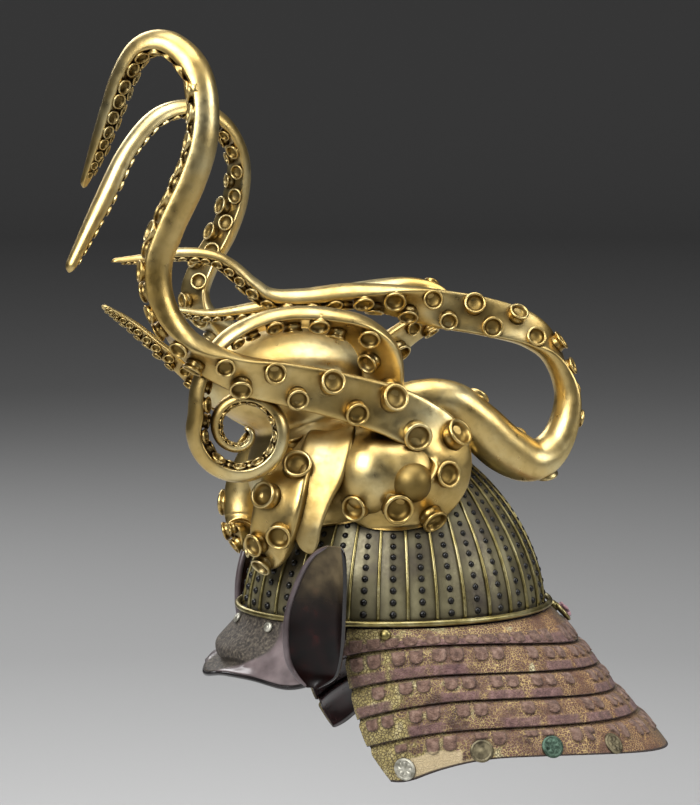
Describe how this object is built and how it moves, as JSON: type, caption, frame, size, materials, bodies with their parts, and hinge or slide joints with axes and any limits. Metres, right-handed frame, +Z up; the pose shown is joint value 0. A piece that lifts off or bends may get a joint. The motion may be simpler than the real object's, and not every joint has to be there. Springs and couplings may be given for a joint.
{
  "type": "kabuto helmet",
  "caption": "Samurai helmet with a ribbed iron bowl, peak, side wings and flared laced neck guard, crested by a gilded octopus whose arms coil above it.",
  "frame": {"origin": "centre of the bowl's rim plane, where the helmet sits on a head", "axes": "+Z up, -Y towards the front of the helmet, +X towards the wearer's left"},
  "size_m": [0.3016, 0.4834, 0.5808],
  "materials": {
    "gilt": "gold leaf over lacquered carving, soft polish",
    "iron": "dark lacquered iron plates, satin",
    "edging": "gilt edging, worn satin",
    "lacquer": "urushi lacquer, glossy dark brown",
    "leather": "crackled gold-lacquered leather with faded silk lacing",
    "silvered": "silvered metal, dulled"
  },
  "bodies": {
    "root": {"bowl": "iron", "bowl_rim_bead": "edging", "bowl_band": "leather", "peak": "lacquer", "peak_edging": "lacquer", "peak_rivet_1": "silvered", "peak_rivet_2": "silvered", "peak_rivet_3": "silvered", "lame_1": "leather", "lame_2": "leather", "lame_3": "leather", "lame_4": "leather", "lame_5": "leather", "wing_left": "lacquer", "wing_right": "lacquer", "side_knob_left": "edging", "side_knob_right": "edging", "rear_stud": "edging", "rear_ring": "edging", "octopus_head": "gilt", "arm_left_crest": "gilt", "arm_right_crest": "gilt", "arm_left_coil": "gilt", "arm_rear_loop": "gilt", "arm_right_loop": "gilt", "arm_right_reach": "gilt", "arm_left_brow": "gilt", "arm_right_brow": "gilt", "web_left": "gilt", "web_right": "gilt", "medallion_left_1": "silvered", "medallion_left_2": "silvered", "medallion_left_3": "silvered", "medallion_left_4": "silvered", "medallion_right_1": "silvered", "medallion_right_2": "silvered", "medallion_right_3": "silvered", "medallion_right_4": "silvered"}
  },
  "joints": []
}
